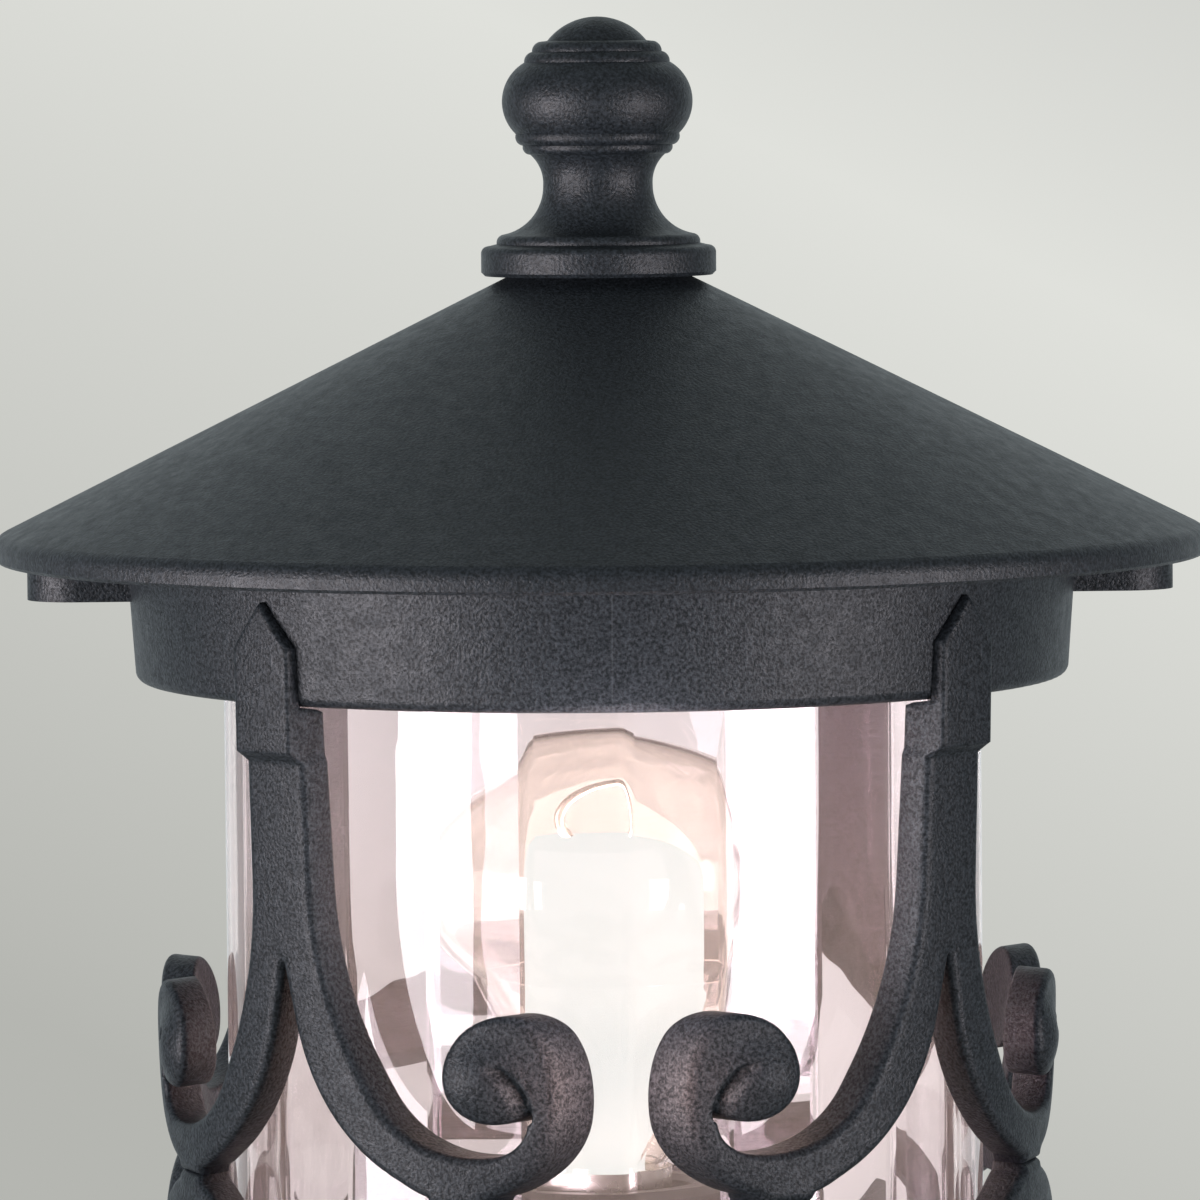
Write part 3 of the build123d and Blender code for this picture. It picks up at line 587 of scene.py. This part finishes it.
# Glazed porcelain: cream white, smooth and glossy, with faint specks under the glaze.
porcelain, tree = start_material("glazed_porcelain")
fleck_mm = 0.7
place = add(tree, "ShaderNodeTexCoord")
fleck = add(
    tree,
    "ShaderNodeTexNoise",
    {"Vector": place.outputs["Object"], "Scale": 1000 / fleck_mm, "Detail": 2.0},
)
cream = add(tree, "ShaderNodeValToRGB", {"Fac": fleck.outputs["Fac"]})
cream.color_ramp.elements[0].position = 0.3
cream.color_ramp.elements[0].color = linear("#cfc8b8")
cream.color_ramp.elements[1].position = 0.45
cream.color_ramp.elements[1].color = linear("#ebe6da")
body = add(
    tree,
    "ShaderNodeBsdfPrincipled",
    {"Base Color": cream.outputs["Color"], "Roughness": 0.16, "IOR": 1.55},
)
add(tree, "ShaderNodeOutputMaterial", {"Surface": body.outputs["BSDF"]})
dress(porcelain, "holder_insulator")
dress(brass, "holder_shell", "holder_contact")

# Lamp: a clear blown bulb round a frosted inner one, on a nickel-plated screw cap with a porcelain
# insulator and a brass contact. The inner bulb stands in the cap, with a wire loop on top of it.
dress(brass, "lamp_contact")
dress(porcelain, "lamp_insulator")

# Nickel plate: bright warm-grey metal, slightly clouded by heat.
nickel, tree = start_material("nickel_plate")
heat_mm = 5.0
place = add(tree, "ShaderNodeTexCoord")
heat = add(tree, "ShaderNodeTexNoise", {"Vector": place.outputs["Object"], "Scale": 1000 / heat_mm})
warm_grey = add(tree, "ShaderNodeValToRGB", {"Fac": heat.outputs["Fac"]})
warm_grey.color_ramp.elements[0].color = linear("#b3aea3")
warm_grey.color_ramp.elements[1].color = linear("#d6d3cb")
clouded = add(
    tree, "ShaderNodeMapRange", {"Value": heat.outputs["Fac"], "To Min": 0.18, "To Max": 0.34}
)
body = add(
    tree,
    "ShaderNodeBsdfPrincipled",
    {"Base Color": warm_grey.outputs["Color"], "Metallic": 1.0, "Roughness": clouded.outputs["Result"]},
)
add(tree, "ShaderNodeOutputMaterial", {"Surface": body.outputs["BSDF"]})
dress(nickel, "lamp_cap")

# Blown soda glass: clear and thin, very slightly misted, so that it glows a little round the light.
bulb_glass, tree = start_material("blown_soda_glass")
body = add(
    tree,
    "ShaderNodeBsdfPrincipled",
    {"Base Color": linear("#fdf8f2"), "Roughness": 0.0, "IOR": 1.47, "Transmission Weight": 1.0},
)
glow = add(tree, "ShaderNodeBsdfTranslucent", {"Color": linear("#fffaf4")})
misted = add(
    tree, "ShaderNodeMixShader", {0: 0.02, 1: body.outputs["BSDF"], 2: glow.outputs["BSDF"]}
)
let_light_through(tree, misted.outputs["Shader"], "#fff8ee")
dress(bulb_glass, "lamp_envelope")

# Lit frosted glass: off-white and even where it is looked at, warm where its light falls.
lit_frost, tree = start_material("lit_frosted_glass")
look = add(tree, "ShaderNodeEmission", {"Color": linear("#e8fdff"), "Strength": 1.03})
cast = add(tree, "ShaderNodeEmission", {"Color": linear("#ffeee6"), "Strength": 18.0})
path = add(tree, "ShaderNodeLightPath")
looked_at = add(
    tree,
    "ShaderNodeMath",
    {0: path.outputs["Is Camera Ray"], 1: path.outputs["Is Transmission Ray"]},
    operation="MAXIMUM",
)
shown = add(
    tree,
    "ShaderNodeMixShader",
    {0: looked_at.outputs["Value"], 1: cast.outputs["Emission"], 2: look.outputs["Emission"]},
)
add(tree, "ShaderNodeOutputMaterial", {"Surface": shown.outputs["Shader"]})

# Sizes of the inner bulb and its loop, in millimetres; heights are above the pier.
inner_foot, inner_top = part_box("lamp_capsule")[0][2] * 1000, 274.0
inner_neck, inner_collar, inner_swell = 10.4, 6.0, 17.0
inner_radius, inner_shoulder, inner_sides = 16.6, 8.0, 60
loop_half, loop_rise, loop_wire, loop_steps, loop_sides = 6.0, 10.4, 0.6, 32, 10


def stand_for(node, material, points, faces):
    """A smooth mesh, given in millimetres, that stands for one piece of the lamp."""
    mesh = bpy.data.meshes.new(f"{node}_form")
    mesh.from_pydata([(x / 1000, y / 1000, z / 1000) for x, y, z in points], [], faces)
    mesh.shade_smooth()
    mesh.materials.append(material)
    piece = bpy.data.objects.new(f"{node}_form", mesh)
    bpy.context.scene.collection.objects.link(piece)
    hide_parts(node)
    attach(piece, "lamp")


def net_faces(rows, columns):
    """Quads between rows of points that close on themselves."""
    faces = []
    for start in range(0, (rows - 1) * columns, columns):
        for c in range(columns):
            after = (c + 1) % columns
            faces.append((start + c, start + after, start + columns + after, start + columns + c))
    return faces


# The inner bulb: a neck that swells into a cylinder with a round shoulder.
shares = [k / 12 for k in range(13)]
profile = [(inner_neck, inner_foot)]
for share in shares:
    girth = inner_neck + (inner_radius - inner_neck) * float(ease(share))
    profile.append((girth, inner_foot + inner_collar + inner_swell * share))
for share in shares:
    turn = math.radians(90 * share)
    girth = inner_radius - inner_shoulder + inner_shoulder * math.cos(turn)
    profile.append((girth, inner_top - inner_shoulder + inner_shoulder * math.sin(turn)))
profile.append((0.2, inner_top))
spins = [math.radians(360 * k / inner_sides) for k in range(inner_sides)]
last_row = (len(profile) - 1) * inner_sides
stand_for(
    "lamp_capsule",
    lit_frost,
    [(r * math.cos(a), r * math.sin(a), z) for r, z in profile for a in spins],
    net_faces(len(profile), inner_sides) + [tuple(range(last_row, last_row + inner_sides))],
)

# The wire loop on top of it, bent in the plane that faces the front.
loop_bend = (loop_half**2 + loop_rise**2) / (2 * loop_rise)
loop_start = math.atan2(loop_bend - loop_rise, loop_half)
wire = []
for k in range(loop_steps + 1):
    turn = loop_start + (math.pi - 2 * loop_start) * k / loop_steps
    for side in range(loop_sides):
        spin = math.radians(360 * side / loop_sides)
        reach = loop_bend + loop_wire * math.cos(spin)
        aslant = reach * math.cos(turn)
        depth = loop_wire * math.sin(spin)
        rise = inner_top + loop_rise - loop_bend + reach * math.sin(turn)
        wire.append(((aslant + depth) * math.sqrt(0.5), (aslant - depth) * math.sqrt(0.5), rise))
stand_for("lamp_wires", nickel, wire, net_faces(loop_steps + 1, loop_sides))

# Roof: a cast cone with an upright rim, on two bosses. A countersunk stainless screw in a nylon cup
# washer comes up through each lug into a boss.
dress(powder_coat, "roof")
dress(stainless, "roof_screw_left", "roof_screw_right")
dress(nylon, "screw_cup_left", "screw_cup_right")

# Finial: a cast and turned knob on a disc, powder coated, held down from inside the roof by a stud, a
# washer and a nut of stainless steel.
dress(powder_coat, "finial")
dress(stainless, "finial_stud", "finial_washer", "finial_nut")

# Studio: a pale paper floor that fades out, a pale backdrop all round, two softboxes and the camera.
photo_px, focal_px = 1200, 7640
view_turn, pitch, roll = math.radians(43.0), math.radians(4.04), math.radians(-0.5)
ahead = Vector((-math.sin(view_turn), math.cos(view_turn), 0.0))
aside = Vector((math.cos(view_turn), math.sin(view_turn), 0.0))
up = Vector((0, 0, math.cos(pitch))) + ahead * math.sin(pitch)

floor_radius, fade_start, fade_end = 1.25, 0.3, 0.85
floor_mesh = bpy.data.meshes.new("floor")
form = bmesh.new()
bmesh.ops.create_circle(form, cap_ends=True, segments=96, radius=floor_radius)
form.to_mesh(floor_mesh)
form.free()
floor = bpy.data.objects.new("floor", floor_mesh)
bpy.context.scene.collection.objects.link(floor)
floor.location.z = -0.0005
paper, tree = start_material("pale_paper")
place = add(tree, "ShaderNodeTexCoord")
away = add(tree, "ShaderNodeVectorMath", {0: place.outputs["Object"]}, operation="LENGTH")
rim_fade = add(
    tree,
    "ShaderNodeMapRange",
    {"Value": away.outputs["Value"], "From Min": fade_start, "From Max": fade_end},
    interpolation_type="SMOOTHSTEP",
)
body = add(tree, "ShaderNodeBsdfPrincipled", {"Base Color": linear("#c9cac5"), "Roughness": 0.9})
gone = add(tree, "ShaderNodeBsdfTransparent")
faded = add(
    tree,
    "ShaderNodeMixShader",
    {0: rim_fade.outputs["Result"], 1: body.outputs["BSDF"], 2: gone.outputs["BSDF"]},
)
add(tree, "ShaderNodeOutputMaterial", {"Surface": faded.outputs["Shader"]})
floor_mesh.materials.append(paper)

# The backdrop: grey with a broad diagonal band of light, whose distances are in the photograph's
# pixels from its middle. It is seen directly, and brighter through the glass.
band_tilt, band_px, before_px, after_px = math.radians(25.666), -479.6, 500, 1100
world = bpy.data.worlds.new("studio")
bpy.context.scene.world = world
world.use_nodes = True
tree = world.node_tree
tree.nodes.clear()
place = add(tree, "ShaderNodeTexCoord")
band_way = -focal_px * (math.sin(band_tilt) * aside + math.cos(band_tilt) * up)
from_middle = add(
    tree,
    "ShaderNodeVectorMath",
    {0: place.outputs["Generated"], 1: band_way},
    operation="DOT_PRODUCT",
)
fade = add(
    tree,
    "ShaderNodeMapRange",
    {
        "Value": from_middle.outputs["Value"],
        "From Min": band_px - before_px,
        "From Max": band_px + after_px,
    },
)
sweep = add(tree, "ShaderNodeValToRGB", {"Fac": fade.outputs["Result"]})
sweep.color_ramp.elements[0].color = linear("#cdceca")
sweep.color_ramp.elements[1].color = linear("#b5b6b1")
band = sweep.color_ramp.elements.new(before_px / (before_px + after_px))
band.color = linear("#e0e1dc")
path = add(tree, "ShaderNodeLightPath")
through_glass = add(
    tree,
    "ShaderNodeMapRange",
    {"Value": path.outputs["Is Transmission Ray"], "To Min": 1.0, "To Max": 1.5},
)
seen = add(
    tree,
    "ShaderNodeBackground",
    {"Color": sweep.outputs["Color"], "Strength": through_glass.outputs["Result"]},
)

# What lights the part is a dimmer room, with a bright wall behind it and a paler ceiling.
behind = add(
    tree,
    "ShaderNodeVectorMath",
    {0: place.outputs["Generated"], 1: ahead},
    operation="DOT_PRODUCT",
)
wall = add(
    tree,
    "ShaderNodeMapRange",
    {"Value": behind.outputs["Value"], "From Min": 0.5, "From Max": 0.85, "To Min": 0.0, "To Max": 0.85},
    interpolation_type="SMOOTHSTEP",
)
skyward = add(tree, "ShaderNodeSeparateXYZ", {0: place.outputs["Generated"]})
ceiling = add(
    tree,
    "ShaderNodeMapRange",
    {"Value": skyward.outputs["Z"], "From Min": 0.3, "From Max": 0.9, "To Min": 0.17, "To Max": 0.34},
)
level = add(tree, "ShaderNodeMath", {0: wall.outputs["Result"], 1: ceiling.outputs["Result"]})
room = add(
    tree,
    "ShaderNodeBackground",
    {"Color": linear("#cfdadd"), "Strength": level.outputs["Value"]},
)
direct = add(
    tree,
    "ShaderNodeMath",
    {0: path.outputs["Is Camera Ray"], 1: path.outputs["Is Transmission Ray"]},
    operation="MAXIMUM",
)
both = add(
    tree,
    "ShaderNodeMixShader",
    {0: direct.outputs["Value"], 1: room.outputs["Background"], 2: seen.outputs["Background"]},
)
add(tree, "ShaderNodeOutputWorld", {"Surface": both.outputs["Shader"]})

# Two softboxes stand in front, a broad one on the left and a narrower one on the right.
softbox_tall, softbox_rise, softbox_distance = 0.42, 0.2, 1.2
for name, turn, width, power in (("softbox_left", -57, 0.8, 14.0), ("softbox_right", 52, 0.52, 8.2)):
    light = bpy.data.lights.new(name, "AREA")
    light.shape = "RECTANGLE"
    light.size = width
    light.size_y = softbox_tall
    light.energy = power
    light.color = linear("#fff7fd")[:3]
    box = bpy.data.objects.new(name, light)
    bpy.context.scene.collection.objects.link(box)
    way = Matrix.Rotation(math.radians(turn), 4, "Z") @ (-ahead)
    box.location = Vector((0, 0, softbox_rise)) + softbox_distance * way
    box.rotation_mode = "QUATERNION"
    box.rotation_quaternion = way.to_track_quat("Z", "Y")

# The lamp's own light where it leaves the glass in front: a low and a high small source between the
# two front straps.
gap_reach = 0.0672
for name, rise, power, tint in (
    ("lamp_light_low", 0.237, 0.09, "#ffc7b9"),
    ("lamp_light_high", 0.285, 0.11, "#ffe9ec"),
):
    light = bpy.data.lights.new(name, "POINT")
    light.shadow_soft_size = 0.012
    light.energy = power
    light.color = linear(tint)[:3]
    glimmer = bpy.data.objects.new(name, light)
    bpy.context.scene.collection.objects.link(glimmer)
    glimmer.location = (gap_reach, -gap_reach, rise)
    glimmer.visible_camera = False
    glimmer.visible_glossy = False
    glimmer.visible_transmission = False

# The camera stands about as high as the finial and looks a little down.
sensor_mm = 36.0
camera_distance, camera_height, camera_shift = 1.45, 0.4216, -0.0003
camera_data = bpy.data.cameras.new("camera")
camera = bpy.data.objects.new("camera", camera_data)
bpy.context.scene.collection.objects.link(camera)
bpy.context.scene.camera = camera
camera_data.sensor_width = sensor_mm
camera_data.lens = sensor_mm * focal_px / photo_px
camera_data.clip_start = 0.05
camera_data.clip_end = 100.0
camera.location = -ahead * camera_distance + aside * camera_shift + Vector((0, 0, camera_height))
sight = ahead * math.cos(pitch) - Vector((0, 0, math.sin(pitch)))
tilt = Matrix.Rotation(roll, 4, "Z").to_quaternion()
camera.rotation_mode = "QUATERNION"
camera.rotation_quaternion = sight.to_track_quat("-Z", "Y") @ tilt
bpy.context.scene.view_settings.view_transform = "Standard"
